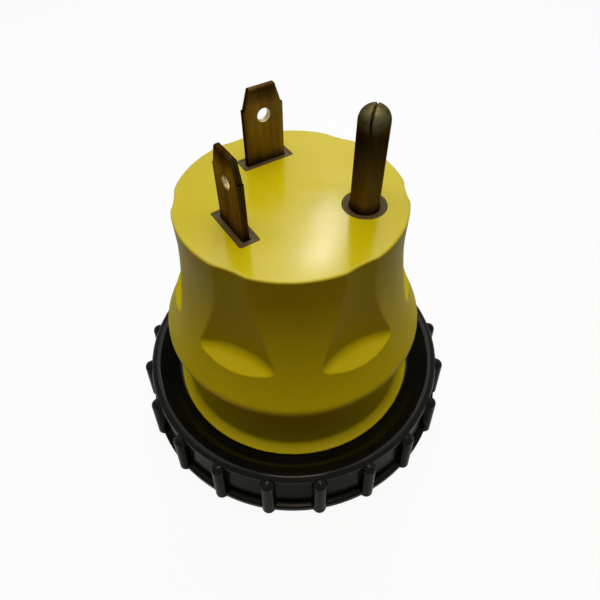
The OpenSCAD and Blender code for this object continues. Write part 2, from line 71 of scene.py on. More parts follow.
# Scallops, each cut by an upright cylinder with a conical foot
SCALLOP_COUNT = 6
SCALLOP_PHASE = 15.2  # degrees
SCALLOP_R = 24.0
SCALLOP_CUT = 0.55  # depth at the face
SCALLOP_LEN = 26.8
SCALLOP_SLOPE = 20.0  # degrees
SCALLOP_FILLET = 2.5

# ---------- sizes of the prongs and their carrier ----------
GROUND_X = 16.2
GROUND_R = 3.175
GROUND_LEN = 22.7
GROUND_TAIL_Z = 47.4
BLADE_X, BLADE_Y = 8.95, 12.35
BLADE_TURN = 44.3  # degrees
BLADE_W = 9.6
BLADE_T = 1.45
BLADE_LEN = 17.8
BLADE_SHOULDER = 13.1  # height of the shoulders over the face
BLADE_STEP = 0.35  # how far the shoulders step in
BLADE_TIP_W = 6.4
BLADE_HOLE_R = 1.6
BLADE_HOLE_Z = 11.2
BLADE_TAIL_Z = 48.6
BOSS_L, BOSS_W = 12.7, 4.5
BOSS_CORNER = 0.35
BOSS_MOUTH = 0.16  # gap round a boss at the face
BOSS_CLEAR = 0.1  # gap round a boss below the face
BOSS_FOOT_Z = 66.0
GROUND_BOSS_R = 4.8
CARRIER_R = 21.3
CARRIER_FOOT_Z = 59.6

# ---------- sizes of the lock ring ----------
RING_H = 16.5
RING_TOP_R = 42.4
RIM_EDGE_R = 1.5
RIM_BAND = 1.7
FOOT_R = 44.3
FOOT_H = 2.0
PANEL_INSET = 0.9
BORE_R = 38.6
HOLE_R = 31.6
PLATE_T = 1.9
DISH = 4.1
RIB_COUNT = 20
RIB_PHASE = 3.3  # degrees
RIB_R = 1.85
RIB_DROP = 2.9  # from the rim down to the rib's domed end
RIB_FOOT, RIB_TOP = 1.2, 2.2  # how far a rib stands out at its ends


# ---------- mesh helpers ----------
MERGE = 2e-6
QUARTERS = ((1, 1, 0), (-1, 1, 90), (-1, -1, 180), (1, -1, 270))


def finish_mesh(me, sharp=35):
    """Joins double points, turns the faces outward and shades them smooth up to an angle in degrees."""
    bm = bmesh.new()
    bm.from_mesh(me)
    bmesh.ops.remove_doubles(bm, verts=bm.verts, dist=MERGE)
    bmesh.ops.recalc_face_normals(bm, faces=bm.faces)
    for f in bm.faces:
        f.smooth = True
    bm.to_mesh(me)
    bm.free()
    me.set_sharp_from_angle(angle=math.radians(sharp))


def bare_object(name, verts, faces, sharp=35):
    """An object from points in millimetres, with no body, slot or material."""
    me = bpy.data.meshes.new(name)
    points = [tuple(v) for v in np.asarray(verts, float) * MM]
    me.from_pydata(points, [], [tuple(f) for f in faces])
    me.validate()
    finish_mesh(me, sharp)
    ob = bpy.data.objects.new(name, me)
    scene.collection.objects.link(ob)
    return ob


def piece(name, verts, faces, body, mat, replaces=(), sharp=35):
    """A visible piece of the model, riding on a body."""
    ob = bare_object(name, verts, faces, sharp)
    ob.data.materials.append(mat)
    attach(ob, body)
    if replaces:
        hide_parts(*replaces)
    return ob


def bake(ob, sharp=35):
    """Applies the object's modifiers to its mesh."""
    dg = bpy.context.evaluated_depsgraph_get()
    me = bpy.data.meshes.new_from_object(ob.evaluated_get(dg))
    ob.modifiers.clear()
    ob.data = me
    finish_mesh(me, sharp)


def cut(ob, cutter):
    """Cuts the cutter, a closed object, out of the object."""
    m = ob.modifiers.new("cut", "BOOLEAN")
    m.operation = "DIFFERENCE"
    m.solver = "EXACT"
    m.object = cutter
    bake(ob)
    bpy.data.objects.remove(cutter)


def bevel(ob, width, segments, angle):
    """Rounds the edges that are sharper than an angle in degrees."""
    m = ob.modifiers.new("soft", "BEVEL")
    m.width = width * MM
    m.segments = segments
    m.limit_method = "ANGLE"
    m.angle_limit = math.radians(angle)
    m.use_clamp_overlap = True
    bake(ob, angle)


def grid_faces(rows, cols, closed_rows=False, start=0):
    """Quads between rows of points that close round."""
    out = []
    last = rows if closed_rows else rows - 1
    for i in range(last):
        a = start + i * cols
        b = start + ((i + 1) % rows) * cols
        for j in range(cols):
            k = (j + 1) % cols
            out.append((a + j, a + k, b + k, b + j))
    return out


def circle(n):
    """Angles of n points round a circle, in radians."""
    return np.linspace(0, 2 * np.pi, n, endpoint=False)


def arc_points(cx, cy, r, a0, a1, n):
    """Points of an arc, angles in degrees."""
    t = np.radians(np.linspace(a0, a1, n))
    return [(cx + r * math.cos(a), cy + r * math.sin(a)) for a in t]


def round_the_axis(rows, angles):
    """Points of rows (radius, z) round the axis. A radius is a number, or one number for each angle."""
    out = []
    for radius, z in rows:
        radii = np.broadcast_to(radius, angles.shape)
        out += [(r * math.cos(t), r * math.sin(t), z) for r, t in zip(radii, angles)]
    return out


def smoothstep(t):
    return t * t * (3 - 2 * t)


def smooth_min(a, b, k):
    h = np.clip(0.5 + 0.5 * (b - a) / k, 0, 1)
    return b + (a - b) * h - k * h * (1 - h)


def smooth_max(a, b, k):
    return -smooth_min(-a, -b, k)


def at_blade(side, p):
    """A point of a blade's frame in the CAD's frame. The side is -1 for the line blade, 1 for the neutral."""
    x, y, z = p
    c, s = math.cos(math.radians(BLADE_TURN)), math.sin(math.radians(BLADE_TURN))
    return (-BLADE_X + x * c - y * s, side * (BLADE_Y + x * s + y * c), z)


def boss_outline(side, half_l, half_w, corner):
    """Outline of a rectangle with round corners that is centred on a blade."""
    pts = []
    for sx, sy, a in QUARTERS:
        for x, y in arc_points(sx * (half_l - corner), sy * (half_w - corner), corner, a, a + 90, 5):
            pts.append(at_blade(side, (x, y, 0))[:2])
    return pts


# ---------- material helpers ----------
def new_mat(name):
    m = bpy.data.materials.new(name)
    m.use_nodes = True
    nt = m.node_tree
    return m, nt, nt.nodes["Principled BSDF"]


def feed(nt, sock, value):
    """Links a socket to another one, or sets the socket's own value."""
    if isinstance(value, bpy.types.NodeSocket):
        nt.links.new(value, sock)
    else:
        sock.default_value = value


def rgba(value):
    return value if isinstance(value, bpy.types.NodeSocket) else (*value, 1)


def coords(nt, scale=(1, 1, 1)):
    tc = nt.nodes.new("ShaderNodeTexCoord")
    mp = nt.nodes.new("ShaderNodeMapping")
    mp.inputs["Scale"].default_value = scale
    nt.links.new(tc.outputs["Object"], mp.inputs["Vector"])
    return mp.outputs["Vector"]


def noise(nt, scale, detail=3.0, rough=0.5, stretch=(1, 1, 1), distortion=0.0):
    n = nt.nodes.new("ShaderNodeTexNoise")
    n.inputs["Scale"].default_value = scale
    n.inputs["Detail"].default_value = detail
    n.inputs["Roughness"].default_value = rough
    n.inputs["Distortion"].default_value = distortion
    nt.links.new(coords(nt, stretch), n.inputs["Vector"])
    return n.outputs["Fac"]


def ramp(nt, fac, stops):
    r = nt.nodes.new("ShaderNodeValToRGB")
    elements = r.color_ramp.elements
    while len(elements) < len(stops):
        elements.new(0.5)
    for element, (pos, col) in zip(elements, stops):
        element.position = pos
        element.color = rgba(col)
    nt.links.new(fac, r.inputs["Fac"])
    return r.outputs["Color"]


def mix(nt, fac, a, b, blend="MIX"):
    m = nt.nodes.new("ShaderNodeMix")
    m.data_type = "RGBA"
    m.blend_type = blend
    sockets = {s.identifier: s for s in m.inputs}
    feed(nt, sockets["Factor_Float"], fac)
    feed(nt, sockets["A_Color"], rgba(a))
    feed(nt, sockets["B_Color"], rgba(b))
    return next(s for s in m.outputs if s.identifier == "Result_Color")


def value_range(nt, fac, lo, hi, from_lo=0.0, from_hi=1.0):
    m = nt.nodes.new("ShaderNodeMapRange")
    m.inputs["From Min"].default_value = from_lo
    m.inputs["From Max"].default_value = from_hi
    m.inputs["To Min"].default_value = lo
    m.inputs["To Max"].default_value = hi
    nt.links.new(fac, m.inputs["Value"])
    return m.outputs["Result"]


def math_node(nt, operation, a, b):
    n = nt.nodes.new("ShaderNodeMath")
    n.operation = operation
    feed(nt, n.inputs[0], a)
    feed(nt, n.inputs[1], b)
    return n.outputs[0]


def bump(nt, bsdf, height, strength, distance, normal=None):
    """Bumps the shader by a height, with a distance in millimetres."""
    b = nt.nodes.new("ShaderNodeBump")
    b.inputs["Strength"].default_value = strength
    b.inputs["Distance"].default_value = distance * MM
    nt.links.new(height, b.inputs["Height"])
    if normal is not None:
        nt.links.new(normal, b.inputs["Normal"])
    nt.links.new(b.outputs["Normal"], bsdf.inputs["Normal"])
    return b.outputs["Normal"]


# ---------- materials ----------
def dust(share, tint):
    """Faint dust, as a row of specks for plastic()."""
    return (1400, 1, 0.5, share, 0.68, 0.78, tint)


def plastic(name, base, dark, rough, specular, grain, grain_mm, specks=()):
    """Moulded plastic with a slow drift of colour and a fine grain.

    specks lists (scale, detail, roughness, share, noise from, noise to, tint).
    """
    m, nt, b = new_mat(name)
    drift = noise(nt, 28, 3, 0.55)
    col = mix(nt, value_range(nt, drift, 0, 1, 0.35, 0.7), base, dark)
    for scale, detail, noise_rough, share, lo, hi, tint in specks:
        spots = noise(nt, scale, detail, noise_rough)
        col = mix(nt, value_range(nt, spots, 0, share, lo, hi), col, tint)
    nt.links.new(col, b.inputs["Base Color"])
    cloud = noise(nt, 70, 4, 0.6)
    nt.links.new(value_range(nt, cloud, rough - 0.06, rough + 0.09, 0.3, 0.7), b.inputs["Roughness"])
    b.inputs["Specular IOR Level"].default_value = specular
    bump(nt, b, noise(nt, grain, 2, 0.6), 0.5, grain_mm)
    return m


def yellow_plastic(name, rough, specular):
    """The housing's plastic, with dark specks and a few pale ones, as on a handled plug."""
    dark_specks = (1100, 1.5, 0.6, 0.45, 0.70, 0.80, (0.30, 0.24, 0.02))
    pale_specks = (760, 2, 0.6, 0.35, 0.69, 0.80, (0.80, 0.74, 0.30))
    base, dark = (0.520, 0.463, 0.004), (0.478, 0.424, 0.003)
    return plastic(name, base, dark, rough, specular, 2100, 0.011, (dark_specks, pale_specks))


def black_plastic(name, rough, specular):
    """The lock ring's plastic."""
    base, dark = (0.0030, 0.0033, 0.0030), (0.0055, 0.0058, 0.0052)
    return plastic(name, base, dark, rough, specular, 1100, 0.006, [dust(0.06, (0.10, 0.10, 0.095))])


def brass_tarnish_and_painted_light(name, depth=1.0, zones=(), tip=None):
    """Formed brass strip: lengthwise draw marks, brown tarnish, warm and green tints.

    depth multiplies its colours. zones lists (z, factor) up the prong, in
    millimetres: where its colour is painted lighter or darker by height; on the
    pin this paints a reflection of the face and a highlight. tip is (z from, z to,
    colour): lighter brass up there, tarnish rubbed off and a painted highlight.
    """
    m, nt, b = new_mat(name)
    streaks = noise(nt, 900, 4, 0.65, (1, 1, 0.05))
    broad = noise(nt, 210, 3, 0.6, (1, 1, 0.12))
    patch = noise(nt, 160, 4, 0.6, (1, 1, 0.6), 0.4)
    veil = noise(nt, 240, 3, 0.6, (1, 1, 0.5))

    def tone(red, green, blue):
        return (red * depth, green * depth, blue * depth)

    dark, middle, light = tone(0.060, 0.036, 0.008), tone(0.115, 0.070, 0.013), tone(0.190, 0.125, 0.024)
    col = ramp(nt, broad, [(0.28, dark), (0.5, middle), (0.72, light)])
    col = mix(nt, value_range(nt, patch, 0, 0.7, 0.5, 0.66), col, tone(0.120, 0.056, 0.014))
    col = mix(nt, value_range(nt, veil, 0, 0.55, 0.52, 0.68), col, tone(0.060, 0.060, 0.022))
    col = mix(nt, value_range(nt, streaks, 0, 0.5, 0.45, 0.75), col, tone(0.028, 0.017, 0.006))
    sep = nt.nodes.new("ShaderNodeSeparateXYZ")
    nt.links.new(coords(nt), sep.inputs[0])
    up = sep.outputs["Z"]
    # Colour made lighter or darker by height: on the pin a painted reflection of the face low down and a
    # painted highlight over the dome
    if zones:
        z0, z1 = zones[0][0], zones[-1][0]
        height = value_range(nt, up, 0, 1, z0 * MM, z1 * MM)
        ragged = math_node(nt, "ADD", height, value_range(nt, patch, -0.06, 0.06, 0.3, 0.7))
        top = max(factor for _, factor in zones)
        shade = ramp(nt, ragged, [((z - z0) / (z1 - z0), (factor / top,) * 3) for z, factor in zones])
        col = mix(nt, 1.0, mix(nt, 1.0, col, (top, top, top), "MULTIPLY"), shade, "MULTIPLY")
    # Lighter brass at the tip: tarnish rubbed off, and a painted highlight as well
    if tip:
        rubbed_and_lit = value_range(nt, up, 0, 1, tip[0] * MM, tip[1] * MM)
        scuffed = value_range(nt, noise(nt, 520, 3, 0.6), 0.25, 1, 0.35, 0.6)
        col = mix(nt, math_node(nt, "MULTIPLY", rubbed_and_lit, scuffed), col, tip[2])
    nt.links.new(col, b.inputs["Base Color"])
    b.inputs["Metallic"].default_value = 1.0
    b.inputs["Specular Tint"].default_value = (0.45, 0.38, 0.28, 1)
    nt.links.new(value_range(nt, patch, 0.30, 0.52, 0.3, 0.7), b.inputs["Roughness"])
    drawn = bump(nt, b, streaks, 0.55, 0.018)
    bump(nt, b, noise(nt, 420, 3, 0.6), 0.35, 0.03, drawn)
    return m


def bright_metal(name, base, dark, rough, stretch=(1, 1, 1)):
    """Clean metal with fine marks, which stretch draws out lengthwise."""
    m, nt, b = new_mat(name)
    marks = noise(nt, 700, 4, 0.6, stretch)
    nt.links.new(mix(nt, value_range(nt, marks, 0, 1, 0.4, 0.7), base, dark), b.inputs["Base Color"])
    b.inputs["Metallic"].default_value = 1.0
    cloud = noise(nt, 240, 3, 0.6)
    nt.links.new(value_range(nt, cloud, rough - 0.06, rough + 0.12, 0.3, 0.7), b.inputs["Roughness"])
    bump(nt, b, marks, 0.4, 0.012)
    return m


# The grip is finely textured and the face is polished
YELLOW = yellow_plastic("yellow_moulding", 0.46, 0.06)
YELLOW_FACE = yellow_plastic("yellow_polished", 0.15, 0.24)
CARRIER = plastic(
    "carrier_moulding", (0.090, 0.066, 0.030), (0.058, 0.042, 0.020), 0.5, 0.15, 1300, 0.02,
    [dust(0.25, (0.16, 0.13, 0.09))],
)
BLACK = black_plastic("ring_moulding", 0.18, 0.03)
BLACK_GLOSS = black_plastic("ring_polished", 0.13, 0.075)
SOCKET = plastic(
    "socket_moulding", (0.016, 0.016, 0.016), (0.024, 0.024, 0.023), 0.46, 0.45, 1300, 0.02,
    [dust(0.12, (0.12, 0.12, 0.11))],
)
RUBBER = plastic(
    "seal_rubber", (0.014, 0.014, 0.014), (0.022, 0.021, 0.020), 0.72, 0.3, 900, 0.03,
    [dust(0.25, (0.10, 0.10, 0.095))],
)
BLOCK = plastic("block_moulding", (0.60, 0.56, 0.44), (0.54, 0.49, 0.37), 0.5, 0.5, 1300, 0.02)
# The blades' colour by height: darker at the foot and much darker towards the tips
BRASS = brass_tarnish_and_painted_light(
    "prong_brass", 1.15, [(71.6, 0.85), (74.0, 1.3), (85.6, 1.3), (87.8, 0.6), (89.4, 0.28)]
)
CUT_BRASS = brass_tarnish_and_painted_light("cut_brass", 0.38)
# Brighter brass for the pierced hole: fresh metal, and a painted glint as well
PIERCED_GLINT_BRASS = bright_metal("pierced_glint_brass", (0.50, 0.42, 0.24), (0.22, 0.16, 0.07), 0.26)
# The pin's colour by height: lighter low on the shank as a painted reflection of the yellow face, darker
# below the dome, lighter over the dome as rubbed brass with a painted highlight
PIN_BRASS = brass_tarnish_and_painted_light(
    "pin_brass", 0.32,
    [(71.6, 3.4), (76.0, 2.4), (80.5, 1.6), (85.0, 0.9), (87.8, 0.5), (90.0, 0.8), (94.3, 1.0)],
    (89.8, 93.5, (0.088, 0.079, 0.040)),
)
DRAWN = (1, 1, 0.2)
CONTACT = bright_metal("contact_brass", (0.72, 0.49, 0.18), (0.58, 0.38, 0.13), 0.30, DRAWN)
SPRING = bright_metal("spring_strip", (0.46, 0.46, 0.47), (0.34, 0.34, 0.36), 0.30, DRAWN)
SCREW = bright_metal("plated_screw", (0.62, 0.62, 0.60), (0.50, 0.50, 0.47), 0.28)


def paint(names, mat):
    """Gives nodes carried over from the CAD a material."""
    for name in names:
        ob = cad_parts[name]
        if not ob.material_slots:
            ob.data.materials.append(mat)
        for s in ob.material_slots:
            s.material = mat


# ---------- housing ----------
# The grip flares along an arc that meets the bead's arc at the end of the flare
FLARE_DROP = GRIP_H - BAND_H
FLARE_R = (FLARE_DROP**2 + FLARE_OUT**2) / (2 * FLARE_OUT)
FLARE_TILT = math.asin(FLARE_DROP / FLARE_R)
BEAD_CR = FACE_R + FLARE_OUT - BEAD_R * math.cos(FLARE_TILT)
BEAD_CZ = FACE_Z - GRIP_H - BEAD_R * math.sin(FLARE_TILT)
NO_SCALLOP = 99.0  # a radius beyond the grip
FACE_EDGE = 0.45  # rounding between face and grip
FACE_CHAMFER = 0.08
# Where the neck turns into the lip: (out from the neck, up from the lip's top)
LIP_HOLLOW = ((0, 2.0), (0, 1.3), (0.08, 0.95), (0.28, 0.65), (0.6, 0.46), (1.1, 0.3), (1.7, 0.14))
LIP_EDGE = 0.33


def grip_r(z):
    """Radius of the grip between scallops, down to the end of its flare."""
    drop = np.clip(FACE_Z - BAND_H - z, 0, None)
    return FACE_R + FLARE_R - np.sqrt(FLARE_R**2 - np.minimum(drop, FLARE_R * 0.99) ** 2)


def scallop_r(theta, z):
    """Distance from the axis to the nearest scallop's surface, or NO_SCALLOP."""
    slope = math.radians(SCALLOP_SLOPE)
    run = SCALLOP_FILLET * math.tan((math.pi / 2 - slope) / 2)
    tip_z = FACE_Z - SCALLOP_LEN
    wall_z = tip_z + run
    cone_z = tip_z - run * math.sin(slope)
    # Radius of the cutter at each height: cylinder, fillet, cone
    rho = np.full_like(z, SCALLOP_R)
    in_fillet = (z < wall_z) & (z >= cone_z)
    reach = np.sqrt(np.maximum(SCALLOP_FILLET**2 - (wall_z - z) ** 2, 0))
    rho = np.where(in_fillet, SCALLOP_R - SCALLOP_FILLET + reach, rho)
    rho = np.where(z < cone_z, SCALLOP_R - (tip_z - z) / math.tan(slope), rho)
    rho = np.maximum(rho, 0)
    cutter_r = FACE_R - SCALLOP_CUT + SCALLOP_R
    pitch = math.radians(360 / SCALLOP_COUNT)
    delta = (theta - math.radians(SCALLOP_PHASE) + pitch / 2) % pitch - pitch / 2
    side = cutter_r * np.sin(delta)
    inside = rho**2 - side**2
    near = cutter_r * np.cos(delta) - np.sqrt(np.maximum(inside, 0))
    return np.where(inside > 0, near, NO_SCALLOP)


def grip_surface(theta, z):
    """Radius of the grip. Its edges to the scallops are softer over the ledges."""
    ledge = FACE_Z - SCALLOP_LEN + 1.5
    soft = np.where(z > ledge, 0.22, 0.22 + 0.2 * np.clip((ledge - z) / 2.0, 0, 1))
    return smooth_min(grip_r(z), scallop_r(theta, z), soft)


def boss_loops(gap):
    """Outlines of the three boss openings, each in order round its middle."""
    half_l, half_w = BOSS_L / 2 + gap, BOSS_W / 2 + gap
    loops = [boss_outline(side, half_l, half_w, BOSS_CORNER + gap) for side in (-1, 1)]
    r = GROUND_BOSS_R + gap
    loops.append([(GROUND_X + r * math.cos(a), r * math.sin(a)) for a in circle(72)])
    return loops


def is_inside(p, loop):
    inside = False
    for i, a in enumerate(loop):
        b = loop[(i + 1) % len(loop)]
        if (a.y > p.y) != (b.y > p.y) and p.x < (b.x - a.x) * (p.y - a.y) / (b.y - a.y) + a.x:
            inside = not inside
    return inside


def flat_with_holes(outer, holes):
    """Points and triangles of a flat region with holes."""
    loops = [[Vector(p) for p in loop] for loop in (outer, *holes)]
    points, edges = [], []
    for loop in loops:
        start, count = len(points), len(loop)
        points += loop
        edges += [(start + i, start + (i + 1) % count) for i in range(count)]
    co, _, triangles, _, _, _ = delaunay_2d_cdt(points, edges, [], 0, 1e-7)
    kept = []
    for t in triangles:
        middle = (co[t[0]] + co[t[1]] + co[t[2]]) / 3
        if is_inside(middle, loops[0]) and not any(is_inside(middle, hole) for hole in loops[1:]):
            kept.append(tuple(t))
    return [(p.x, p.y) for p in co], kept


def housing_rows(th):
    """Rows of the housing from the face's edge down the outside, and up the inside to the seat."""
    edge_z = FACE_Z - FACE_EDGE
    top = grip_surface(th, np.full(th.shape, edge_z))
    rows = [(top - FACE_EDGE - 0.25, FACE_Z)]
    for a in np.radians(np.linspace(90, 0, 7)):
        rows.append((top - FACE_EDGE * (1 - math.cos(a)), edge_z + FACE_EDGE * math.sin(a)))
    # The rows lie closer together over the ledges
    ledge_top, ledge_foot = 48.5, 42.0
    zs = np.concatenate([
        np.linspace(edge_z - 0.3, ledge_top, 50),
        np.linspace(ledge_top - 0.2, ledge_foot, 64),
        np.linspace(ledge_foot - 0.3, FACE_Z - GRIP_H, 16),
    ])
    rows += [(grip_surface(th, np.full(th.shape, z)), z) for z in zs]
    bead_end = math.acos((NECK_R - BEAD_CR) / BEAD_R)
    rows += arc_points(BEAD_CR, BEAD_CZ, BEAD_R, math.degrees(FLARE_TILT), 6 - math.degrees(bead_end), 14)[1:]
    neck_top = BEAD_CZ - BEAD_R * math.sin(bead_end)
    rows += [(NECK_R + out, neck_top - down) for out, down in ((0.14, 0.22), (-0.05, 0.7), (-0.1, 2.0))]
    rows += [(NECK_R - 0.1, 22.0), (NECK_R - 0.02, 18.5)]
    rows += [(NECK_R + out, LIP_Z + LIP_T + up) for out, up in LIP_HOLLOW]
    rows += arc_points(LIP_R - LIP_EDGE, LIP_Z + 0.37, LIP_EDGE, 90, -90, 9)
    rows += [(NECK_R + 0.05, LIP_Z), (NECK_R, LIP_Z - 0.1), (NECK_R, NECK_FOOT_Z)]
    bore_r = NECK_R - NECK_WALL
    rows += [(bore_r, NECK_FOOT_Z), (bore_r, CHAMBER_TOP_Z)]
    rows += [(CORE_R, CHAMBER_TOP_Z), (CORE_R, SEAT_Z - 0.3), (CORE_R - 0.3, SEAT_Z)]
    return rows


def make_housing():
    th = circle(720)
    n = len(th)
    rows = housing_rows(th)
    verts = round_the_axis(rows, th)
    faces = grid_faces(len(rows), n)
    for row, z, gap in ((0, FACE_Z, BOSS_MOUTH), (len(rows) - 1, SEAT_Z, BOSS_CLEAR)):
        rim = [v[:2] for v in verts[row * n:(row + 1) * n]]
        co, triangles = flat_with_holes(rim, boss_loops(gap))
        base = len(verts)
        verts += [(x, y, z) for x, y in co]
        faces += [tuple(base + i for i in t) for t in triangles]
    # Walls of the openings, with a small chamfer at the face
    for outer, inner in zip(boss_loops(BOSS_MOUTH), boss_loops(BOSS_CLEAR)):
        base = len(verts)
        for loop, z in ((outer, FACE_Z), (inner, FACE_Z - FACE_CHAMFER), (inner, SEAT_Z)):
            verts += [(x, y, z) for x, y in loop]
        faces += grid_faces(3, len(outer), False, base)
    ob = piece("housing_skin", verts, faces, PLUG, YELLOW, ["housing"], 32)
    ob.data.materials.append(YELLOW_FACE)
    for poly in ob.data.polygons:
        if poly.center.z > (FACE_Z - 0.3) * MM:
            poly.material_index = 1


# ---------- lock ring ----------
RIM_CR, RIM_CZ = RING_TOP_R - RIM_EDGE_R, RING_H - RIM_EDGE_R  # middle of the rim's rounding
BAND_Z = RING_H - RIM_BAND
RIB_END_Z = RING_H - RIB_DROP
DISH_Z = RING_H - DISH
PLATE_Z = DISH_Z - PLATE_T
RIB_PITCH = 360 / RIB_COUNT
RIB_MEAN_R = 43.5  # where the ribs' width is taken
EASE_LOW, EASE_HIGH = 0.5, 0.55  # how softly the panel turns into the rims that frame it
FOOT_CHAMFER = {0.0: 0.32, 0.12: 0.12}  # how far the wall draws in at a height


def rib_columns():
    """Angles of the ring's columns of points, closer together on the ribs."""
    w = math.degrees((RIB_R + 0.55) / RIB_MEAN_R)
    on_rib = [math.degrees(RIB_R * math.sin(a) / RIB_MEAN_R) for a in np.radians(np.linspace(-84, 84, 15))]
    between = list(np.linspace(w, RIB_PITCH - w, 10)[1:-1])
    offsets = sorted([-w, -w * 0.86] + on_rib + [w * 0.86, w] + between)
    return np.radians([RIB_PHASE + i * RIB_PITCH + o for i in range(RIB_COUNT) for o in offsets])


def ring_wall_r(z):
    """Radius of the leaning panel, the thin rims that frame it and the rounded upper edge."""
    foot, top = FOOT_R - PANEL_INSET - 0.6, RING_TOP_R - PANEL_INSET
    panel = foot + (top - foot) * np.clip((z - FOOT_H) / (BAND_Z - FOOT_H), 0, 1)
    low = smoothstep(np.clip((FOOT_H + EASE_LOW - z) / EASE_LOW, 0, 1))
    high = smoothstep(np.clip((z - BAND_Z + EASE_HIGH) / EASE_HIGH, 0, 1))
    r = panel + (FOOT_R - panel) * low
    r = r + (RING_TOP_R - r) * high
    over = max(z - RIM_CZ, 0)
    return r - (RIM_EDGE_R - math.sqrt(max(RIM_EDGE_R**2 - over**2, 0)))


def rib_surface(delta, z):
    """Radius of a half-round rib that leans with the wall and has a domed upper end. Delta is in degrees."""
    foot, top = FOOT_R + RIB_FOOT - RIB_R, RING_TOP_R + RIB_TOP - RIB_R
    c = foot + (top - foot) * min(z / RIB_END_Z, 1)
    rib = RIB_R if z <= RIB_END_Z else math.sqrt(max(RIB_R**2 - (z - RIB_END_Z) ** 2, 0))
    inside = rib**2 - (c * np.sin(np.radians(delta))) ** 2
    return np.where(inside > 0, c * np.cos(np.radians(delta)) + np.sqrt(np.maximum(inside, 0)), 0.0)


def ring_rows(th):
    """Rows of the ring: up the wall, over the rim, down the dish, through the hole and down the bore."""
    delta = (np.degrees(th) - RIB_PHASE + RIB_PITCH / 2) % RIB_PITCH - RIB_PITCH / 2
    zs = [0.0, 0.12, 0.3, 0.6, 1.0, 1.6]
    zs += list(np.linspace(FOOT_H, FOOT_H + EASE_LOW, 6))
    zs += list(np.linspace(3.2, RIB_END_Z, 12))
    zs += list(np.linspace(BAND_Z - EASE_HIGH, BAND_Z, 6))
    zs += [RIB_END_Z + RIB_R * math.sin(a) for a in np.radians(np.linspace(0, 88, 15)[1:])]
    zs += [RIM_CZ + RIM_EDGE_R * math.sin(a) for a in np.radians(np.linspace(0, 84, 13)[1:])]
    rows = []
    for z in sorted(set(round(float(z), 4) for z in zs)):
        r = smooth_max(np.full(th.shape, ring_wall_r(z)), rib_surface(delta, z), 0.32)
        rows.append((r - FOOT_CHAMFER.get(z, 0.0), z))
    brow_r, brow_z = RIM_CR - 0.5, RING_H - 0.02
    rows += [(RIM_CR, RING_H), (brow_r, brow_z)]
    for t in np.linspace(0.08, 1, 12):
        rows.append((brow_r - (brow_r - LIP_R - 0.3) * t, brow_z - (brow_z - DISH_Z) * smoothstep(t)))
    rows += [(HOLE_R + 0.3, DISH_Z), (HOLE_R, DISH_Z - 0.3), (HOLE_R, PLATE_Z + 0.3), (HOLE_R + 0.3, PLATE_Z)]
    rows += [(BORE_R - 0.4, PLATE_Z), (BORE_R, PLATE_Z - 0.4)]
    rows += [(BORE_R, z) for z in (8.0, 5.0, 2.6, 1.25)]
    rows += [(BORE_R + 1.0, 0.12), (BORE_R + 1.25, 0.0)]
    return rows


def make_ring():
    th = rib_columns()
    rows = ring_rows(th)
    verts = round_the_axis(rows, th)
    faces = grid_faces(len(rows), len(th), True)
    ob = piece("ring_shell", verts, faces, RING, BLACK, ["lock_ring"], 40)
    # Rim, dished top and rib ends are polished, the wall between is plainer
    ob.data.materials.append(BLACK_GLOSS)
    for poly in ob.data.polygons:
        c = poly.center / MM
        r = math.hypot(c.x, c.y)
        on_rib_end = c.z > RIB_END_Z and r > ring_wall_r(c.z) + 0.1
        on_dish = r < RIM_CR and c.z > PLATE_Z + 0.5
        if on_rib_end or c.z > RIM_CZ or on_dish:
            poly.material_index = 1


def make_thread():
    """Round-crested thread inside the ring, run out at both ends."""
    lead, turns, start_z = 3.78, 1.75, 2.0
    steps = int(120 * turns)
    run_out = 28 / 360  # share of a turn
    root = BORE_R + 0.05
    # The section as (in from the root, up)
    section = ((0, -1.15), (0.4, -0.85), (1.0, -0.35), (1.1, 0), (1.0, 0.35), (0.4, 0.85), (0, 1.15))
    verts = []
    for i in range(steps + 1):
        t = i / steps
        a = 2 * math.pi * turns * t
        fade = 0.03 + 0.97 * smoothstep(min(1, min(t, 1 - t) * turns / run_out))
        for inward, up in section:
            r = root - inward * fade
            z = start_z + lead * turns * t + up * (0.4 + 0.6 * fade)
            verts.append((r * math.cos(a), r * math.sin(a), z))
    m = len(section)
    faces = grid_faces(steps + 1, m)
    faces.append(tuple(range(m)))
    faces.append(tuple(steps * m + j for j in range(m)))
    piece("ring_thread", verts, faces, RING, BLACK, sharp=50)


# ---------- prongs ----------
def opposite(rows):
    """The rows (y, z, half width) of the other layer, in reverse order."""
    return [(-y, z, half) for y, z, half in reversed(rows)]


def blade_section():
    """Rows (y, z, half width) of a blade's sheet: over the fold outside, and back inside it."""
    gap = 0.06  # half the gap between the layers
    sheet = BLADE_T / 2
    fold_z = FACE_Z + BLADE_LEN - sheet
    shoulder_z = FACE_Z + BLADE_SHOULDER
    full, stepped, tip = BLADE_W / 2, BLADE_W / 2 - BLADE_STEP, BLADE_TIP_W / 2
    # The shoulder is two rows at one height
    layer = [(-sheet, BLADE_TAIL_Z, full), (-sheet, shoulder_z, full)]
    layer += [(-sheet, shoulder_z, stepped), (-sheet, fold_z, tip)]
    fold = []
    for a in np.radians(np.linspace(180, 0, 13)[1:-1]):
        rise = math.sin(a)
        drawn_in = 0.32 * (1 - math.cos(math.asin(min(rise, 1))))
        fold.append((sheet * math.cos(a), fold_z + sheet * rise, tip - drawn_in))
    outside = layer + fold + opposite(layer)
    end_z = fold_z - 0.1
    end_half = stepped + (tip - stepped) * (end_z - shoulder_z) / (fold_z - shoulder_z)
    layer = [(gap, BLADE_TAIL_Z, full), (gap, shoulder_z, full)]
    layer += [(gap, shoulder_z, stepped), (gap, end_z, end_half)]
    return outside, layer + [(0, fold_z, tip)] + opposite(layer)


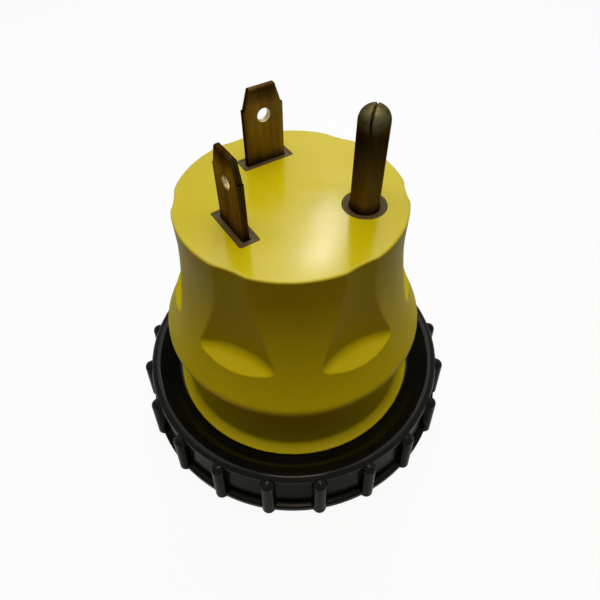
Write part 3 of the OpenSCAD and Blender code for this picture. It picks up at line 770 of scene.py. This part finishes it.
def make_blade(side, name, node_name):
    """Sheet folded double over its tip, trimmed to a taper above two shoulders."""
    outside, inside = blade_section()
    ring = outside + inside
    m = len(ring)
    verts = [at_blade(side, (end * half, y, z)) for end in (-1, 1) for y, z, half in ring]
    faces = [(i, (i + 1) % m, m + (i + 1) % m, m + i) for i in range(m)]
    # End faces, one for each layer and one round the fold, on both ends
    for start in (0, m):
        a = [start + i for i in range(len(outside))]
        b = [start + i for i in range(len(outside), m)]
        faces += [
            (a[-1], a[-2], b[1], b[0]),
            (a[-3], a[-4], b[3], b[2]),
            (a[0], a[1], b[7], b[8]),
            (a[2], a[3], b[5], b[6]),
            (*a[3:-3], b[3], b[4], b[5]),
        ]
    ob = piece(name, verts, faces, PLUG, BRASS, [node_name], 35)
    hole_z = FACE_Z + BLADE_HOLE_Z
    drill = [
        at_blade(side, (BLADE_HOLE_R * math.cos(a), y, hole_z + BLADE_HOLE_R * math.sin(a)))
        for y in (-3, 3) for a in circle(40)
    ]
    cut(ob, bare_object("drill", drill, grid_faces(2, 40) + [tuple(range(40)), tuple(range(40, 80))]))
    bevel(ob, 0.11, 3, 40)
    # The faces across the blade's ends take a darker brass. The hole's wall takes a brighter brass: fresh
    # pierced metal, and a painted glint as well
    me = ob.data
    me.materials.append(CUT_BRASS)
    me.materials.append(PIERCED_GLINT_BRASS)
    turn = math.radians(BLADE_TURN)
    along = Vector((math.cos(turn), side * math.sin(turn), 0))
    through = Vector((-math.sin(turn), side * math.cos(turn), 0))
    hole = Vector((-BLADE_X, side * BLADE_Y, hole_z)) * MM
    for poly in me.polygons:
        off = poly.center - hole
        from_hole = math.hypot(off.dot(along), off.z)
        if from_hole < (BLADE_HOLE_R + 0.1) * MM and abs(poly.normal.dot(through)) < 0.6:
            poly.material_index = 2
        elif abs(poly.normal.dot(along)) > 0.6:
            poly.material_index = 1


PIN_TOP_Z = FACE_Z + GROUND_LEN
# The pin's seam and slits: azimuth, reach down from the top, half width, depth, length of the run-out
PIN_SLITS = (
    (-97, 6.4, 0.34, 0.42, 3.0),
    (-6, 4.2, 0.30, 0.34, 2.0),
    (84, 4.6, 0.30, 0.34, 2.0),
    (172, 2.6, 0.26, 0.26, 1.4),
)


def slit_depth(x, y, z, azimuth, reach, width, depth, fade):
    """Depth of a slit that runs from the pin's top down one side. X and y are from the pin's axis."""
    a = math.radians(azimuth)
    along = x * math.cos(a) + y * math.sin(a)
    across = abs(-x * math.sin(a) + y * math.cos(a))
    if along < -0.05:
        return 0.0
    end = min(max((reach - PIN_TOP_Z + z) / fade, 0), 1)
    start = min((along + 0.05) / 0.35, 1)
    return depth * end * start * smoothstep(max(1 - across / width, 0))


def make_ground_pin():
    """Pin formed from sheet: a straight shank and a domed end with folded seams."""
    th = circle(240)
    n = len(th)
    dome_z = PIN_TOP_Z - GROUND_R
    rows = [(3.0, GROUND_TAIL_Z), (3.0, FACE_Z - 0.3)]
    rows += [(GROUND_R - 0.12, FACE_Z - 0.12), (GROUND_R, FACE_Z + 0.05)]
    rows += [(GROUND_R, z) for z in np.linspace(FACE_Z + 2, PIN_TOP_Z - 9, 6)]
    rows += [(GROUND_R, z) for z in np.linspace(PIN_TOP_Z - 8.7, dome_z - 0.1, 34)]
    rows += arc_points(0, dome_z, GROUND_R, 0, 88.5, 52)
    verts = []
    for x, y, z in round_the_axis(rows, th):
        d = max(slit_depth(x, y, z, *slit) for slit in PIN_SLITS)
        inward = Vector((x, y, max(z - dome_z, 0))).normalized() * d
        verts.append((GROUND_X + x - inward.x, y - inward.y, z - inward.z))
    faces = grid_faces(len(rows), n)
    faces.append(tuple(range(n)))
    top = len(verts)
    verts.append((GROUND_X, 0, PIN_TOP_Z - 0.28))
    faces += [(top - n + i, top - n + (i + 1) % n, top) for i in range(n)]
    piece("ground_pin_formed", verts, faces, PLUG, PIN_BRASS, ["ground_pin"], 60)


def make_carrier_disc():
    top_z, edge = SEAT_Z - 0.2, 0.3
    rows = [
        (0.01, CARRIER_FOOT_Z), (CARRIER_R - edge, CARRIER_FOOT_Z), (CARRIER_R, CARRIER_FOOT_Z + edge),
        (CARRIER_R, top_z - edge), (CARRIER_R - edge, top_z), (0.01, top_z),
    ]
    th = circle(96)
    verts = round_the_axis(rows, th)
    faces = grid_faces(len(rows), len(th), True)
    piece("carrier_disc", verts, faces, PLUG, CARRIER, ["prong_carrier"])


def make_blade_boss(side, name):
    """Oblong boss with a thin rim, a sunk face and the blade's slot."""
    half_l, half_w = BOSS_L / 2, BOSS_W / 2
    slot_l, slot_w = BLADE_W / 2 + BOSS_CLEAR, BLADE_T / 2 + BOSS_CLEAR
    # Half length, half width, corner radius and height
    rows = (
        (half_l - 0.1, half_w - 0.1, 0.3, BOSS_FOOT_Z),
        (half_l, half_w, BOSS_CORNER, BOSS_FOOT_Z + 0.1),
        (half_l, half_w, BOSS_CORNER, FACE_Z - 0.14),
        (half_l - 0.1, half_w - 0.1, 0.3, FACE_Z - 0.03),
        (half_l - 0.45, half_w - 0.42, 0.2, FACE_Z - 0.03),
        (half_l - 0.52, half_w - 0.5, 0.2, FACE_Z - 0.16),
        (slot_l + 0.28, slot_w + 0.26, 0.12, FACE_Z - 0.16),
        (slot_l + 0.1, slot_w + 0.1, 0.1, FACE_Z - 0.3),
        (slot_l, slot_w, 0.08, FACE_Z - 0.8),
        (slot_l, slot_w, 0.08, BOSS_FOOT_Z),
    )
    loops = [[(x, y, z) for x, y in boss_outline(side, *size)] for *size, z in rows]
    faces = grid_faces(len(rows), len(loops[0]), True)
    piece(name, sum(loops, []), faces, PLUG, CARRIER, sharp=30)


def make_ground_boss():
    """Round boss with a thin rim, a sunk face with fine radial ridges, and the pin's hole."""
    outer, inner = GROUND_BOSS_R, GROUND_R
    ridge = 0.16
    # Radius, height and height of the ridges
    rows = (
        (outer - 0.1, BOSS_FOOT_Z, 0), (outer, BOSS_FOOT_Z + 0.1, 0), (outer, FACE_Z - 0.14, 0),
        (outer - 0.1, FACE_Z - 0.03, 0), (outer - 0.42, FACE_Z - 0.03, 0), (outer - 0.52, FACE_Z - 0.12, 0),
        (outer - 0.6, FACE_Z - 0.26, ridge), (outer - 1.0, FACE_Z - 0.27, ridge),
        (inner + 0.32, FACE_Z - 0.3, ridge), (inner + 0.2, FACE_Z - 0.34, 0),
        (inner + 0.1, FACE_Z - 0.6, 0), (inner + 0.1, BOSS_FOOT_Z, 0),
    )
    th = circle(288)
    wave = 0.5 + 0.5 * np.cos(th * 36)
    verts = [
        (GROUND_X + r * math.cos(t), r * math.sin(t), z + height * w)
        for r, z, height in rows for t, w in zip(th, wave)
    ]
    faces = grid_faces(len(rows), len(th), True)
    piece("boss_ground", verts, faces, PLUG, CARRIER, sharp=50)


# ---------- the model ----------
make_housing()
make_ring()
make_thread()
make_blade(-1, "line_blade_folded", "line_blade")
make_blade(1, "neutral_blade_folded", "neutral_blade")
make_ground_pin()
make_carrier_disc()
make_blade_boss(-1, "boss_line")
make_blade_boss(1, "boss_neutral")
make_ground_boss()

paint(["socket_face"], SOCKET)
paint(["collar_gasket", "body_seal"], RUBBER)
paint(["contact_block"], BLOCK)
paint(["contact_x", "contact_y", "contact_neutral", "contact_ground"], CONTACT)
paint(["line_bus", "neutral_bus", "ground_bus", "blade_rivets"], CONTACT)
paint(["contact_springs", "ground_spring"], SPRING)
paint(["bus_screws", "carrier_screws", "housing_screws"], SCREW)
# The nodes that finer pieces replace have a finish too
paint(["housing"], YELLOW)
paint(["lock_ring"], BLACK)
paint(["prong_carrier"], CARRIER)
paint(["line_blade", "neutral_blade", "ground_pin"], BRASS)


# ---------- floor, light and camera, in metres ----------
FLOOR_HALF = 3.0
FLOOR_Z = -0.05 * MM  # just clear of the ring's foot
FLOOR_SEEN = (0.72, 0.86, 1.0)
FLOOR_GIVEN_BACK = (0.16, 0.075, 0.02)
WORLD_STRENGTH = 0.03
AIM = (0, 0, 0.05)
WARM = (1.0, 0.82, 0.55)
CAMERA_AT = (0.020518, -0.085643, 0.140228)
CAMERA_TURN = (40.1823, 0.2008, 11.9709)  # degrees
CAMERA_LENS = 30.0475


def white_to_view(nt, shader, camera_share, mirror_share):
    """Mixes a shader with plain white, by one share for camera rays and one for glossy and transmission rays.

    Returns the mixed shader, and a value that is 1 on those rays and 0 on all others.
    """
    lp = nt.nodes.new("ShaderNodeLightPath")
    camera = lp.outputs["Is Camera Ray"]
    mirror = math_node(nt, "MAXIMUM", lp.outputs["Is Glossy Ray"], lp.outputs["Is Transmission Ray"])
    seen = math_node(nt, "MAXIMUM", camera, mirror)
    camera_part = math_node(nt, "MULTIPLY", camera, camera_share)
    mirror_part = math_node(nt, "MULTIPLY", mirror, mirror_share)
    em = nt.nodes.new("ShaderNodeEmission")
    em.inputs["Color"].default_value = (1, 1, 1, 1)
    em.inputs["Strength"].default_value = 1.0
    mixed = nt.nodes.new("ShaderNodeMixShader")
    nt.links.new(math_node(nt, "MAXIMUM", camera_part, mirror_part), mixed.inputs[0])
    nt.links.new(shader, mixed.inputs[1])
    nt.links.new(em.outputs[0], mixed.inputs[2])
    return mixed.outputs[0], seen


def make_floor():
    me = bpy.data.meshes.new("floor")
    s, z = FLOOR_HALF, FLOOR_Z
    me.from_pydata([(-s, -s, z), (s, -s, z), (s, s, z), (-s, s, z)], [], [(0, 1, 2, 3)])
    ob = bpy.data.objects.new("floor", me)
    scene.collection.objects.link(ob)
    m, nt, b = new_mat("floor_paper")
    b.inputs["Roughness"].default_value = 0.9
    b.inputs["Specular IOR Level"].default_value = 0.1
    out, seen = white_to_view(nt, b.outputs[0], 0.91, 0.2)
    # Pale where it is seen, darker in the light that it gives back
    nt.links.new(mix(nt, seen, FLOOR_GIVEN_BACK, FLOOR_SEEN), b.inputs["Base Color"])
    nt.links.new(out, nt.nodes["Material Output"].inputs["Surface"])
    me.materials.append(m)


def make_world():
    w = bpy.data.worlds.new("studio")
    scene.world = w
    w.use_nodes = True
    nt = w.node_tree
    b = nt.nodes["Background"]
    b.inputs["Color"].default_value = (1, 1, 1, 1)
    b.inputs["Strength"].default_value = WORLD_STRENGTH
    out, _ = white_to_view(nt, b.outputs[0], 1.0, 1.0)
    nt.links.new(out, nt.nodes["World Output"].inputs["Surface"])


def area(name, loc, size, power, color=(1, 1, 1), target=AIM, size_y=None, roll=0.0):
    """An area lamp that faces the target. Roll, in degrees, turns it about its own axis."""
    lamp = bpy.data.lights.new(name, "AREA")
    lamp.energy = power
    lamp.color = color
    lamp.size = size
    if size_y:
        lamp.shape = "RECTANGLE"
        lamp.size_y = size_y
    ob = bpy.data.objects.new(name, lamp)
    scene.collection.objects.link(ob)
    ob.location = loc
    turn = (Vector(target) - Vector(loc)).to_track_quat("-Z", "Y")
    ob.rotation_euler = (turn @ Quaternion((0, 0, 1), math.radians(roll))).to_euler()


def make_lights():
    area("back_key", (-0.065, 0.282, 0.643), 0.42, 1.65, (0.97, 1.0, 0.92))
    area("top_soft", (0.021, -0.090, 0.704), 0.20, 2.1, WARM)
    area("left_soft", (-0.272, -0.063, 0.648), 0.3, 0.60, WARM)
    area("right_soft", (0.272, 0.063, 0.648), 0.3, 0.66, WARM)
    # Two windows that the polished face mirrors, each aimed at its own patch of the face
    patch, sheen = (0.0095, -0.0125, FACE_Z * MM), (0.0125, 0.004, FACE_Z * MM)
    area("back_window", (-0.046, 0.359, 0.42), 0.034, 0.17, target=patch, size_y=0.08, roll=-24)
    area("back_panel", (-0.020, 0.362, 0.346), 0.15, 0.08, target=sheen, size_y=0.30)


def make_camera():
    cam = bpy.data.cameras.new("camera")
    cam.sensor_width = 36
    cam.lens = CAMERA_LENS
    cam.clip_start = 0.005
    ob = bpy.data.objects.new("camera", cam)
    scene.collection.objects.link(ob)
    ob.location = CAMERA_AT
    ob.rotation_euler = Euler([math.radians(d) for d in CAMERA_TURN], "XYZ")
    scene.camera = ob


make_floor()
make_world()
make_lights()
make_camera()
scene.view_settings.view_transform = "Standard"
